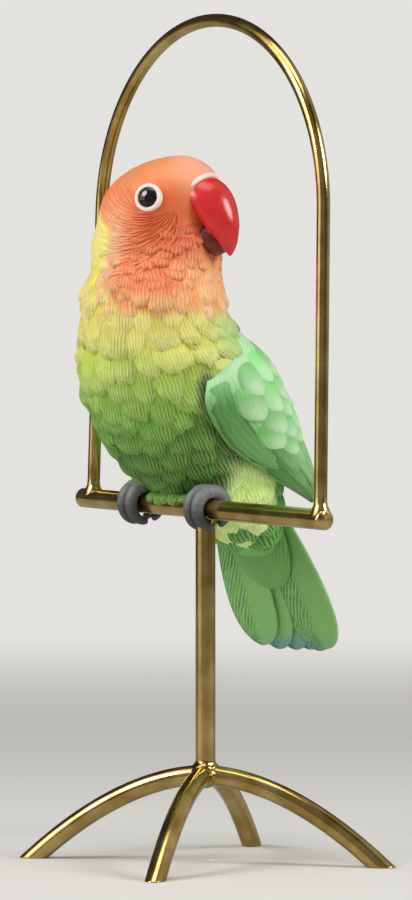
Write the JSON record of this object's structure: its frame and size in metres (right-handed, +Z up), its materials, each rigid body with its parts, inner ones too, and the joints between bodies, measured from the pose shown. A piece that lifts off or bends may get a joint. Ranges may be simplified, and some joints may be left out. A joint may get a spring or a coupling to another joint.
{
  "type": "parrot figurine",
  "caption": "Porcelain lovebird with its head turned, perched on a brass rod bar under a wire hoop, on a post with arched legs.",
  "frame": {"origin": "centre of the model's box at the feet's underside", "axes": "+Z up; +X towards the right foot and -Y towards the front foot as the picture shows them"},
  "size_m": [0.0932, 0.1064, 0.2023],
  "materials": {
    "bisque": "matt hand-painted bisque, glossy on the beak and the eyes",
    "brass": "polished, lacquered"
  },
  "bodies": {
    "root": {"bird": "bisque", "perch_bar": "brass", "hoop": "brass", "post": "brass", "side_legs": "brass", "front_leg": "brass", "back_leg": "brass"}
  },
  "joints": []
}
